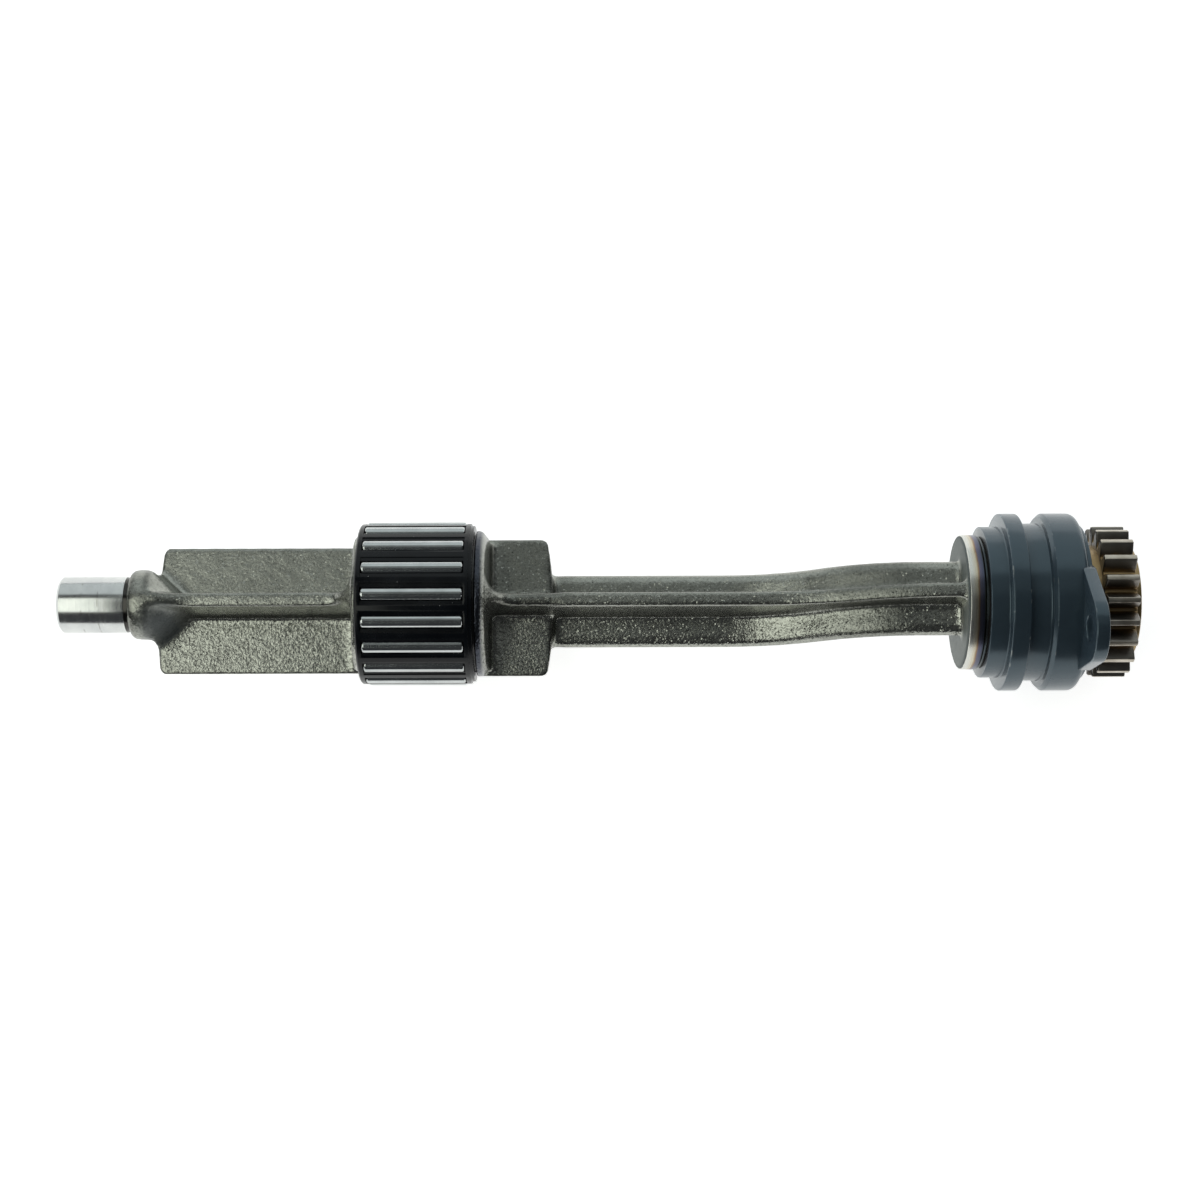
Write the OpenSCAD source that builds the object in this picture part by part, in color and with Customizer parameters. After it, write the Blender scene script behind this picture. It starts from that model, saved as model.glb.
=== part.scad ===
// Balance shaft with its needle bearing, front bearing housing and drive gear.
// X runs along the shaft, pin end at -X and gear end at +X. +Z is up: ribs up, weights down.
// The origin is on the shaft's axis, in the plane of the housing ear's seating face.

/* [Rear pin and boss] */
// Diameter of the ground rear pin
pin_d = 16; // [10:0.5:17]
// Length of the rear pin
pin_l = 19.7; // [12:0.1:30]
// Chamfer on the pin's end
pin_chamfer = 0.8; // [0.2:0.1:2]
// Depth of the grinding relief beside the boss
relief_depth = 0.25; // [0.1:0.05:0.5]
// Width of the grinding relief beside the boss
relief_w = 0.9; // [0.4:0.1:2]
// Diameter of the boss behind the pin
boss_d = 20; // [19:0.5:24]
// Length of the boss up to the rear weight
boss_l = 5.1; // [4:0.1:10]
// Edge radius of the boss
boss_edge_r = 1.7; // [0.5:0.1:1.9]
// Length of the taper that runs from the boss onto the rear flat
boss_taper_l = 8.5; // [5:0.5:14]

/* [Weights] */
// Length of the rear weight
rear_weight_l = 59; // [45:0.5:80]
// Height of the rear weight's flat above the axis
rear_flat_z = -8.75; // [-13:0.25:-6]
// Length of the front weight
front_weight_l = 18.9; // [14:0.1:30]
// Height of the front weight's flat above the axis
front_flat_z = -5.4; // [-9:0.1:-3]
// Width of the shoulder rim beside the raceway
rim_w = 2.5; // [1.5:0.1:5]
// Height of the weights and the rim above the raceway
shoulder_h = 1.7; // [1:0.1:3]
// Edge radius of the weights and the rim
weight_edge_r = 1.8; // [0.6:0.1:2]
// Draft of the weights' end faces, from the boss's radius outwards
end_draft = 1.4; // [0.4:0.1:2]
// Radius where the flats meet the walls of the raceway drum
wall_fillet_r = 3; // [1.5:0.25:5]
// Draft of those walls over their height
wall_draft = 0.9; // [0.4:0.1:2]

/* [Rib] */
// Width of the rib
rib_w = 4; // [2.5:0.1:6]
// Height of the rib above the axis on the rear weight
rear_rib_z = 7.6; // [4:0.1:9]
// Height of the rib above the axis on the front weight and the neck
neck_rib_z = 6.8; // [4:0.1:12]
// Fillet at the root of the rib
root_r = 1.8; // [0.6:0.1:3]
// Length of the slopes from the rib up to the raceway drum and up to the shoulder rim
rim_slope_l = 7; // [4:0.5:12]
// Radius in plan where the rib meets the drum, the rim and the collar
flare_r = 2.2; // [1:0.1:4]

/* [Neck] */
// Length of the neck between the front weight and the thrust collar
neck_l = 114.3; // [108:0.1:140]
// Width of the neck's wings
wing_w = 21.3; // [14:0.1:28]
// Thickness of the wings at their edge
wing_t = 5; // [3:0.1:7]
// Depth of the rounded belly below the wings
belly_h = 4.5; // [2:0.1:6]
// Height of the wings above the axis at the weight end
wing_low_z = -11.9; // [-13.5:0.1:-9]
// Height of the wings above the axis at the collar end
wing_high_z = 5.4; // [2:0.1:8]
// Start of the S-bend, from the front weight
bend_start = 48.8; // [40:0.1:55]
// Length of the S-bend
bend_l = 54; // [44:0.1:58]
// Start of the rib's own rise, from the front weight
rib_rise_start = 57.2; // [45:0.1:75]
// Fillet where the wings meet the front weight and the thrust collar
neck_fillet_r = 2.5; // [1:0.1:3.5]

/* [Front journal] */
// Diameter of the thrust collar
collar_d = 38; // [34:0.5:40]
// Width of the thrust collar
collar_w = 4.7; // [2:0.1:6]
// Diameter of the front journal
journal_d = 27; // [24:0.5:28.5]
// Diameter of the nose that carries the gear
nose_d = 20; // [14:0.5:24]
// Edge chamfer of the ground surfaces
ground_chamfer = 0.4; // [0.1:0.1:0.8]
// Diameter of the centre holes in both ends
centre_d = 5; // [3:0.5:7]

/* [Needle bearing] */
// Diameter of the raceway
race_d = 38; // [34:0.5:42]
// Diameter of the rollers
roller_d = 4; // [3:0.1:4.4]
// Number of rollers
roller_count = 18; // [12:1:18]
// Angle of the first roller, from straight up towards +Y
roller_phase = -4.3; // [-10:0.1:10]
// Radial play between a roller and the raceway
roller_play = 0.03; // [0.01:0.01:0.08]
// Play of a roller in its pocket
pocket_play = 0.08; // [0.04:0.01:0.1]
// End play of a roller in its pocket
pocket_end_play = 0.2; // [0.1:0.05:0.5]
// Length of the cage
cage_l = 32; // [24:0.1:40]
// Gap between the cage and the shoulder rim
cage_gap = 0.4; // [0.2:0.1:2]
// Gap between the cage and the rear end of the raceway
rear_gap = 1; // [0.4:0.1:3]
// Radial gap between the cage and the raceway
cage_play = 0.35; // [0.2:0.05:0.6]
// How far the rollers stand proud of the cage
roller_proud = 0.45; // [0.3:0.05:0.8]
// Width of the pocket's mouth, which keeps the roller in
pocket_mouth = 3.7; // [2.6:0.1:3.8]
// Width of the split in the cage
split_w = 0.5; // [0.3:0.1:1.2]
// Width of the cage's left end ring
left_ring_w = 1.6; // [1.2:0.1:4]
// Width of the cage's right end ring
right_ring_w = 2.2; // [1.6:0.1:4]
// Width of the ridge along each bar of the cage
ridge_w = 1.8; // [1:0.1:2.4]
// Height of that ridge above the flats beside the pockets
ridge_h = 0.5; // [0.1:0.05:0.8]

/* [Bearing housing] */
// Diameter of the two flanges
flange_d = 50; // [48:0.5:54]
// Width of the flange next to the ear
ear_flange_w = 7.8; // [5:0.1:12]
// Width of the other flange
front_flange_w = 5; // [3:0.1:8]
// Width of the groove between the flanges
groove_w = 6.2; // [3:0.1:10]
// Diameter of the groove's floor
groove_d = 44.4; // [40:0.2:46]
// Width of the plain part beside the flange
shank_w = 5.2; // [3:0.1:10]
// Diameter of that plain part
shank_d = 42.6; // [40:0.2:46]
// Width of the lip that faces the thrust collar
lip_w = 0.5; // [0.3:0.1:3]
// Diameter of that lip
lip_d = 37; // [34.6:0.2:40]
// Length of the slope from the lip to the plain part
lip_slope_l = 0.4; // [0.2:0.1:3]
// Edge chamfer of the ear flange
flange_chamfer = 1; // [0.3:0.1:1.5]
// Edge chamfer of the other flange
small_chamfer = 0.6; // [0.2:0.1:0.8]
// Thickness of the bolting ear
ear_t = 3.6; // [2.4:0.1:6]
// Distance of the ear's hole from the axis
ear_reach = 31; // [29.5:0.5:40]
// Diameter of the ear's hole
ear_hole_d = 7; // [4:0.5:9]
// Radius of the ear's tip
ear_tip_r = 9.3; // [7:0.1:12]
// Width of the ear at its foot
ear_foot_w = 28.8; // [24:0.2:34]
// Angle of the ear, from straight up towards -Y
ear_angle = 24.5; // [0:0.5:60]
// Wall of the pressed-in bush
bush_wall = 1.5; // [1:0.1:2.4]
// Radial running clearance of the bush
bush_play = 0.03; // [0.01:0.01:0.08]
// Set-back of the bush's ends in the housing
bush_inset = 0.6; // [0.2:0.1:2]
// End float of the housing between the collar and the gear
end_float = 0.2; // [0.1:0.05:0.5]

/* [Drive gear] */
// Number of teeth
teeth = 21; // [17:1:22]
// Diameter over the teeth
gear_d = 42.4; // [40:0.2:46]
// Height of the teeth
tooth_h = 4.2; // [3:0.1:4.6]
// Width of a tooth's land
land_w = 1.4; // [0.8:0.1:1.8]
// Slope of the tooth flanks in degrees
flank_angle = 18; // [12:1:19]
// Bulge of the tooth flanks
flank_bulge = 0.12; // [0:0.02:0.2]
// Width of the toothed ring
tooth_w = 9.1; // [5:0.1:14]
// Chamfer on the tooth ends
tooth_chamfer = 0.6; // [0.2:0.1:1]
// Width of the hub's face that runs against the housing
thrust_w = 1; // [0.5:0.1:1.9]
// Length of the hub on the housing's side
hub_l = 3.6; // [2:0.1:8]
// Length of the hub on the open side
hub_end_l = 1.5; // [0.5:0.1:4]
// Angle of one tooth, from straight up towards -Y
tooth_phase = 10.1; // [0:0.1:17]

/* [Hidden] */
$fn = 96;
// Points along each long curve and each edge radius of an outline
curve_steps = 16;
edge_steps = 5;
// Overlap of pieces that are one forging, and how far a fillet runs into what it meets
merge = 0.5;
sink = 0.2;
// Included angle of the centre holes
centre_angle = 60;
// Set-back of the nose's end in the gear
nose_inset = 0.5;
// Points along a tooth's flank
flank_steps = 4;
// Angle of the draft where the boss runs down onto the flat
boss_draft = 7;
// Rise of the rear rib where it meets the boss
boss_rib_drop = 0.1;
// Setting of the ear flange's rounded corner: axial length and radial drop
flange_round_l = 2;
flange_round_h = 1.5;
// Radial set-back of the raised face round the ear
face_inset = 3;
// Depth and place of the step in the cage's right ring
ring_step_h = 0.6;
ring_step_share = 0.45;
// Outer edge chamfer of the cage's left ring
cage_chamfer = 0.5;
// Rounding of the roller ends
roller_end_r = 0.6;

// Radii
pin_r = pin_d / 2;
boss_r = boss_d / 2;
race_r = race_d / 2;
weight_r = race_r + shoulder_h;
collar_r = collar_d / 2;
journal_r = journal_d / 2;
nose_r = nose_d / 2;
roller_r = roller_d / 2;
pitch_r = race_r + roller_play + roller_r;
cage_r0 = race_r + cage_play;
cage_r1 = pitch_r + roller_r - roller_proud;
bush_r0 = journal_r + bush_play;
bush_r1 = journal_r + bush_wall;
flange_r = flange_d / 2;
groove_r = groove_d / 2;
shank_r = shank_d / 2;
lip_r = lip_d / 2;
gear_r = gear_d / 2;
gear_root_r = gear_r - tooth_h;
hub_r = bush_r1 + thrust_w;

// Stations along the shaft, from the ear's seating face towards the pin
x_ear_flange = -ear_flange_w;
x_groove = x_ear_flange - groove_w;
x_front_flange = x_groove - front_flange_w;
x_shank = x_front_flange - shank_w;
x_lip = x_shank - lip_slope_l;
x_housing = x_lip - lip_w;
x_collar1 = x_housing - end_float;
x_collar0 = x_collar1 - collar_w;
x_neck0 = x_collar0 - neck_l;
x_rim1 = x_neck0 - front_weight_l;
x_race1 = x_rim1 - rim_w;
x_cage1 = x_race1 - cage_gap;
x_cage0 = x_cage1 - cage_l;
x_race0 = x_cage0 - rear_gap;
x_rear0 = x_race0 - rear_weight_l;
x_boss0 = x_rear0 - boss_l;
x_pin0 = x_boss0 - pin_l;
x_pocket0 = x_cage0 + left_ring_w;
x_pocket1 = x_cage1 - right_ring_w;

// Stations from the ear's seating face towards the gear end
x_hub0 = ear_t + end_float;
x_teeth0 = x_hub0 + hub_l;
x_teeth1 = x_teeth0 + tooth_w;
x_gear1 = x_teeth1 + hub_end_l;
x_nose1 = x_gear1 - nose_inset;

// Neck: two equal arcs make the S-bend
wing_rise = wing_high_z - wing_low_z;
bend_angle = 2 * atan(wing_rise / bend_l);
bend_r = bend_l / 2 / sin(bend_angle);
x_bend0 = x_neck0 + bend_start;
x_bend1 = x_bend0 + bend_l;
x_rib_rise = x_neck0 + rib_rise_start;

function roller_name(i) = str("roller_", i < 9 ? "0" : "", i + 1);
function roller_angle(i) = roller_phase + i * 360 / roller_count;
function bar_angle(i) = roller_angle(i + 0.5);
ROLLERS = [for (i = [0:roller_count - 1]) roller_name(i)];

// Height of an S made of two equal arcs, for a share t of its length l and its rise h
function s_height(t, l, h) =
    let (r = (l * l + h * h) / (4 * abs(h)))
    sign(h) * (t < 0.5 ? r - sqrt(r * r - pow(t * l, 2)) : abs(h) - r + sqrt(r * r - pow((1 - t) * l, 2)));
// Points of that S from x0 to x1 and z0 to z1
function s_points(x0, x1, z0, z1) = [
    for (i = [0:curve_steps])
        let (t = i / curve_steps)
        [x0 + t * (x1 - x0), z0 + s_height(t, x1 - x0, z1 - z0)]
];
// Points of an arc about (cx, cz)
function arc_points(cx, cz, r, a0, a1) = [
    for (i = [0:edge_steps])
        let (a = a0 + (a1 - a0) * i / edge_steps)
        [cx + r * cos(a), cz + r * sin(a)]
];
// Points of a curve that leaves (x0, z0) level and rises to (x1, z1)
function rise_points(x0, x1, z0, z1) = [
    for (i = [0:edge_steps])
        let (t = i / edge_steps)
        [x0 + t * (x1 - x0), z0 + t * t * (z1 - z0)]
];
// Points in reverse order
function reversed(points) = [for (i = [len(points) - 1:-1:0]) points[i]];
// Mirror image of the points of an outline on the +Y side, in reverse order
function mirrored(points) = [for (p = reversed(points)) if (p[0] > 0) [-p[0], p[1]]];
// All points but the last
function but_last(points) = [for (i = [0:len(points) - 2]) points[i]];
// Touching point of a line from p on the right of a circle about (0, c)
function tangent_point(p, c, r) =
    let (d = norm([p[0], p[1] - c]), a = atan2(p[1] - c, p[0]) + acos(r / d))
    [r * cos(a), c + r * sin(a)];

// Solid of revolution about X, from an outline of [radius, x]
module turned() {
    rotate([0, 90, 0]) rotate_extrude() children();
}

// Extrusion along X of an outline drawn in [y, z]
module along_x(x0, x1) {
    translate([x0, 0, 0]) rotate([90, 0, 90]) linear_extrude(x1 - x0) children();
}

// Extrusion across Y of an outline drawn in [x, z]
module across_y(w) {
    rotate([90, 0, 0]) linear_extrude(w, center = true) children();
}

// Disc outline with rounded outer corners at one or both ends
module disc_outline(r, x0, x1, r0, r1) {
    polygon(concat(
        [[0, x0]],
        r0 > 0 ? arc_points(r - r0, x0 + r0, r0, -90, 0) : [[r, x0]],
        r1 > 0 ? arc_points(r - r1, x1 - r1, r1, 0, 90) : [[r, x1]],
        [[0, x1]]
    ));
}

// Outline of a weight's disc: a rounded and drafted end at x, a plain end at x1, dir pointing from x to x1
module weight_outline(x, x1, dir) {
    corner = arc_points(weight_r - weight_edge_r, weight_edge_r, weight_edge_r, -90, 0);
    polygon(concat(
        [[0, x], [boss_r, x]],
        [for (p = corner) [p[0], x + dir * (end_draft + p[1])]],
        [[weight_r, x1], [0, x1]]
    ));
}

// Fillet across the wings, in the corner of their face at z and a wall at x. dir points away from the wall.
module neck_fillet(x, z, dir) {
    reach = neck_fillet_r - sink;
    across_y(wing_w - wing_t) polygon(concat(
        [[x - dir * merge, z - merge], [x - dir * merge, z + reach]],
        [for (p = arc_points(reach, reach, neck_fillet_r, 180, 270)) [x + dir * p[0], z + p[1]]],
        [[x + dir * reach, z - merge]]
    ));
}

// Plan of a rib from x0 to x1, flared at the ends where it meets a wall
module rib_plan(x0, x1, flare0, flare1) {
    half = rib_w / 2;
    y = half + flare_r;
    side = concat(
        flare0 ? [[x0 - merge, y]] : [[x0, half]],
        flare0 ? arc_points(x0 + flare_r, y, flare_r, 180, 270) : [],
        flare1 ? arc_points(x1 - flare_r, y, flare_r, 270, 360) : [],
        flare1 ? [[x1 + merge, y]] : [[x1, half]]
    );
    polygon(concat(side, [for (p = reversed(side)) [p[0], -p[1]]]));
}

// Cone of a centre hole, its mouth at x and its point at a distance towards dir
module centre_hole(x, dir) {
    depth = centre_d / 2 / tan(centre_angle / 2);
    translate([x, 0, 0]) rotate([0, dir * 90, 0]) cylinder(h = depth, r1 = centre_d / 2, r2 = 0);
}

// Weight: the part of a disc below a flat, with its drafted end at x and its plain end at x1
module weight(x, x1, flat_z) {
    intersection() {
        turned() weight_outline(x, x1, sign(x1 - x));
        translate([min(x, x1), -weight_r, -weight_r])
            cube([abs(x1 - x), 2 * weight_r, flat_z + weight_r]);
    }
}

// Space beside a drum's drafted wall, above a flat with a fillet. dir points away from the drum.
module wall_space(x, dir, flat_z, length) {
    top = 2 * weight_r;
    foot = x + dir * (wall_draft + wall_fillet_r);
    across_y(2 * top) polygon(concat(
        [[x, top]],
        [for (p = arc_points(0, wall_fillet_r, wall_fillet_r, 180, 270)) [foot + dir * p[0], flat_z + p[1]]],
        [[x + dir * length, flat_z], [x + dir * length, top]]
    ));
}

// Points of the fillet at the rib's root on a face at z, on the +Y side, from the face up to the rib
function root_fillet(z) = arc_points(rib_w / 2 + root_r - sink, z + root_r, root_r, 270, 180);

// Section of a rib from a flat to a top, with the fillets at its root
module rib_section(flat_z, top) {
    foot = root_fillet(flat_z);
    side = concat(
        [[foot[0][0], flat_z - merge]],
        [for (p = foot) if (p[0] >= rib_w / 2) p],
        [[rib_w / 2, flat_z + root_r], [rib_w / 2, top]]
    );
    polygon(concat(side, mirrored(side)));
}

// Rear pin and boss, with the taper that runs from the boss onto the rear flat
module rear_end() {
    turned() polygon([
        [0, x_pin0],
        [pin_r - pin_chamfer, x_pin0],
        [pin_r, x_pin0 + pin_chamfer],
        [pin_r, x_boss0 - relief_w],
        [pin_r - relief_depth, x_boss0 - relief_w],
        [pin_r - relief_depth, x_boss0 + merge],
        [0, x_boss0 + merge]
    ]);
    turned() disc_outline(boss_r, x_boss0, x_rear0 + merge, boss_edge_r, 0);
    translate([x_rear0 + merge, 0, 0]) rotate([0, 90, 0])
        cylinder(h = boss_taper_l, r1 = boss_r, r2 = rib_w / 2 - sink);
    boss_foot();
}

// Drafted foot that carries the boss's taper down to the rear flat
module boss_foot() {
    spread = -rear_flat_z * tan(boss_draft);
    x0 = x_rear0 + merge;
    hull() {
        linear_extrude(sink) boss_plan(x0, -merge);
        translate([0, 0, rear_flat_z - merge]) linear_extrude(merge) boss_plan(x0, spread);
    }
}

// Plan outline of the boss's taper from x0, wider by spread
module boss_plan(x0, spread) {
    x1 = x0 + boss_taper_l + spread;
    polygon([[x0, -boss_r - spread], [x1, -rib_w / 2], [x1, rib_w / 2], [x0, boss_r + spread]]);
}

// Rear weight with its rib
module rear_weight() {
    x1 = x_race0 + merge;
    x_wall = x_race0 - wall_draft;
    boss_top = boss_r - boss_rib_drop;
    weight(x_rear0, x1, rear_flat_z);
    intersection() {
        union() {
            along_x(x_rear0 + merge, x1) rib_section(rear_flat_z, 2 * boss_r);
            translate([0, 0, -weight_r]) linear_extrude(2 * weight_r)
                rib_plan(x_wall - 2 * flare_r, x_wall, false, true);
        }
        across_y(weight_r) polygon(concat(
            [[x_rear0, -weight_r], [x_rear0, boss_top]],
            s_points(x_rear0 + merge, x_rear0 + boss_taper_l + boss_l, boss_top, rear_rib_z),
            rise_points(x_wall - rim_slope_l, x_wall, rear_rib_z, race_r - shoulder_h),
            [[x1, race_r - shoulder_h], [x1, -weight_r]]
        ));
    }
}

// Raceway drum with the drafted wall above the rear flat
module raceway_drum() {
    length = wall_draft + wall_fillet_r;
    difference() {
        turned() disc_outline(race_r, x_race0 - length, x_race1 + merge, 0, 0);
        wall_space(x_race0, -1, rear_flat_z, length + merge);
    }
}

// Shoulder rim with the front weight
module front_weight() {
    rim_x1 = x_rim1 + wall_draft + wall_fillet_r;
    weight(x_neck0, x_race1, front_flat_z);
    turned() disc_outline(weight_r, x_race1, x_rim1, 0, weight_edge_r);
    difference() {
        turned() disc_outline(weight_r - weight_edge_r, x_rim1 - merge, rim_x1, 0, 0);
        wall_space(x_rim1, 1, front_flat_z, rim_x1 - x_rim1 + merge);
    }
    along_x(x_rim1 - merge, x_neck0 - weight_edge_r)
        rib_section(front_flat_z, front_flat_z + root_r + merge);
}

// Rib from the shoulder rim along the neck to the thrust collar, with its own S-rise
module neck_rib() {
    slope_top = weight_r - 2 * weight_edge_r;
    end_top = collar_r - 2 * ground_chamfer;
    x_wall = x_rim1 + wall_draft;
    intersection() {
        across_y(weight_r) polygon(concat(
            [[x_rim1 - merge, slope_top]],
            reversed(rise_points(x_wall + rim_slope_l, x_wall, neck_rib_z, slope_top)),
            s_points(x_rib_rise, x_collar0, neck_rib_z, end_top),
            [[x_collar0 + merge, end_top], [x_collar0 + merge, wing_high_z]],
            reversed(s_points(x_bend0, x_bend1, wing_low_z, wing_high_z)),
            [[x_rim1 - merge, wing_low_z]]
        ));
        translate([0, 0, -weight_r]) linear_extrude(2 * weight_r) rib_plan(x_wall, x_collar0, true, true);
    }
}

// Section of the neck's wings about their middle: rounded edges, belly below, root fillets above
module wing_section() {
    half = (wing_w - wing_t) / 2;
    belly_r = (half * half + belly_h * belly_h) / (2 * belly_h);
    belly_angle = 90 - asin(half / belly_r);
    side = concat(
        but_last(arc_points(0, belly_r - belly_h - wing_t / 2, belly_r, 270, 360 - belly_angle)),
        arc_points(half, 0, wing_t / 2, -90, 90),
        root_fillet(wing_t / 2)
    );
    polygon(concat(side, mirrored(side)));
}

// Wings and belly of the neck, swept along a straight, two arcs and a straight
module neck_wings() {
    along_x(x_neck0 - weight_edge_r - merge, x_bend0) translate([0, wing_low_z]) wing_section();
    translate([x_bend0, 0, wing_low_z + bend_r]) rotate([90, 0, 0]) rotate([0, 0, -90])
        rotate_extrude(angle = bend_angle) translate([bend_r, 0]) rotate(90) wing_section();
    translate([x_bend1, 0, wing_high_z - bend_r]) rotate([90, 0, 0]) rotate([0, 0, 90])
        rotate_extrude(angle = bend_angle) translate([bend_r, 0]) rotate(-90) wing_section();
    along_x(x_bend1, x_collar0 + merge) translate([0, wing_high_z]) wing_section();
    neck_fillet(x_neck0, wing_low_z + wing_t / 2, 1);
    neck_fillet(x_collar0, wing_high_z + wing_t / 2, -1);
}

// Thrust collar, front journal and nose
module front_end() {
    turned() polygon([
        [0, x_collar0],
        [collar_r - ground_chamfer, x_collar0],
        [collar_r, x_collar0 + ground_chamfer],
        [collar_r, x_collar1 - ground_chamfer],
        [collar_r - ground_chamfer, x_collar1],
        [journal_r, x_collar1],
        [journal_r, x_hub0],
        [nose_r, x_hub0],
        [nose_r, x_nose1 - ground_chamfer],
        [nose_r - ground_chamfer, x_nose1],
        [0, x_nose1]
    ]);
}

module balance_shaft() {
    color([0.33, 0.33, 0.30]) difference() {
        union() {
            rear_end();
            rear_weight();
            raceway_drum();
            front_weight();
            neck_rib();
            neck_wings();
            front_end();
        }
        centre_hole(x_pin0, 1);
        centre_hole(x_nose1, -1);
    }
}

// Flank of a tooth: half its width at each height above the root
module tooth_outline() {
    flank = [
        for (i = [0:flank_steps])
            let (h = tooth_h * i / flank_steps)
            [land_w / 2 + (tooth_h - h) * tan(flank_angle) + flank_bulge * sin(180 * i / flank_steps),
                gear_root_r + h]
    ];
    foot = [flank[0][0], gear_root_r - merge];
    polygon(concat(
        [foot], flank,
        [for (i = [flank_steps:-1:0]) [-flank[i][0], flank[i][1]]],
        [[-foot[0], foot[1]]]
    ));
}

module drive_gear() {
    color([0.24, 0.19, 0.14]) difference() {
        union() {
            turned() disc_outline(hub_r, x_hub0, x_gear1, ground_chamfer, ground_chamfer);
            intersection() {
                along_x(x_teeth0, x_teeth1) union() {
                    circle(gear_root_r);
                    for (i = [0:teeth - 1]) rotate(tooth_phase + i * 360 / teeth) tooth_outline();
                }
                turned() polygon([
                    [0, x_teeth0],
                    [gear_r - tooth_chamfer, x_teeth0],
                    [gear_r, x_teeth0 + tooth_chamfer],
                    [gear_r, x_teeth1 - tooth_chamfer],
                    [gear_r - tooth_chamfer, x_teeth1],
                    [0, x_teeth1]
                ]);
            }
        }
        translate([x_hub0 - merge, 0, 0]) rotate([0, 90, 0])
            cylinder(h = x_gear1 - x_hub0 + 2 * merge, r = nose_r);
    }
}

// Turned body of the housing: lip, plain part, two flanges with a groove, and the raised face
module housing_body() {
    face_r = flange_r - face_inset;
    turned() polygon(concat(
        [
            [bush_r1, x_housing],
            [lip_r, x_housing],
            [lip_r, x_lip],
            [shank_r, x_shank],
            [shank_r, x_front_flange],
            [flange_r - small_chamfer, x_front_flange],
            [flange_r, x_front_flange + small_chamfer],
            [flange_r, x_groove - small_chamfer],
            [flange_r - small_chamfer, x_groove],
            [groove_r, x_groove],
            [groove_r, x_ear_flange],
            [flange_r - flange_chamfer, x_ear_flange],
            [flange_r, x_ear_flange + flange_chamfer]
        ],
        [for (i = [0:curve_steps])
            let (a = 90 * i / curve_steps)
            [flange_r - flange_round_h * (1 - cos(a)), flange_round_l * sin(a)]],
        [
            [face_r, flange_round_l],
            [face_r, ear_t],
            [bush_r1, ear_t]
        ]
    ));
}

// Bolting ear, drawn straight up, with its foot sunk in the flange
module ear_outline() {
    corner = [ear_foot_w / 2, sqrt(pow(flange_r, 2) - pow(ear_foot_w / 2, 2)) + small_chamfer];
    touch = tangent_point(corner, ear_reach, ear_tip_r);
    difference() {
        union() {
            polygon([
                [-corner[0], bush_r1],
                [corner[0], bush_r1],
                corner,
                touch,
                [-touch[0], touch[1]],
                [-corner[0], corner[1]]
            ]);
            translate([0, ear_reach]) circle(ear_tip_r);
        }
        translate([0, ear_reach]) circle(ear_hole_d / 2);
        circle(bush_r1);
    }
}

module bearing_housing() {
    color([0.26, 0.32, 0.37]) rotate([ear_angle, 0, 0]) {
        housing_body();
        along_x(0, ear_t) ear_outline();
    }
}

module bearing_bush() {
    color([0.66, 0.56, 0.38]) turned() polygon([
        [bush_r0, x_housing + bush_inset],
        [bush_r1, x_housing + bush_inset],
        [bush_r1, ear_t - bush_inset],
        [bush_r0, ear_t - bush_inset]
    ]);
}

// Pocket of one roller in the cage's section: a round seat with a narrower mouth
module pocket_outline() {
    translate([0, pitch_r]) circle(roller_r + pocket_play);
    translate([-pocket_mouth / 2, cage_r0 - merge]) square([pocket_mouth, cage_r1 - cage_r0 + 2 * merge]);
}

// Flat beside the pocket of one roller, between the ridges of two bars, in the cage's section
module pocket_flat() {
    half = cage_r1 * sin(180 / roller_count) - ridge_w / 2;
    translate([-half, cage_r1 - ridge_h]) square([2 * half, 2 * ridge_h]);
}

module needle_cage() {
    step_x = x_cage1 - right_ring_w * ring_step_share;
    color([0.06, 0.07, 0.09]) difference() {
        turned() polygon([
            [cage_r0, x_cage0],
            [cage_r1 - cage_chamfer, x_cage0],
            [cage_r1, x_cage0 + cage_chamfer],
            [cage_r1, step_x],
            [cage_r1 - ring_step_h, step_x],
            [cage_r1 - ring_step_h, x_cage1],
            [cage_r0, x_cage1]
        ]);
        along_x(x_pocket0, x_pocket1)
            for (i = [0:roller_count - 1]) {
                rotate(-roller_angle(i)) pocket_outline();
                rotate(-roller_angle(i)) pocket_flat();
            }
        rotate([-bar_angle(floor(roller_count / 2)), 0, 0])
            translate([x_cage0 - merge, -split_w / 2, cage_r0 - merge])
            cube([cage_l + 2 * merge, split_w, cage_r1 - cage_r0 + 2 * merge]);
    }
}

module roller(i) {
    color([0.75, 0.76, 0.78]) rotate([-roller_angle(i), 0, 0]) translate([0, 0, pitch_r])
        turned() disc_outline(
            roller_r, x_pocket0 + pocket_end_play, x_pocket1 - pocket_end_play, roller_end_r, roller_end_r
        );
}

balance_shaft();
drive_gear();
bearing_housing();
bearing_bush();
needle_cage();
for (i = [0:roller_count - 1])
    roller(i);
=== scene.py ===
"""Looks of a forged balance shaft with its needle bearing, bearing housing and drive gear."""

import math

import bmesh
import bpy
import numpy as np
from mathutils import Matrix, Vector
from mathutils.geometry import tessellate_polygon


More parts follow.
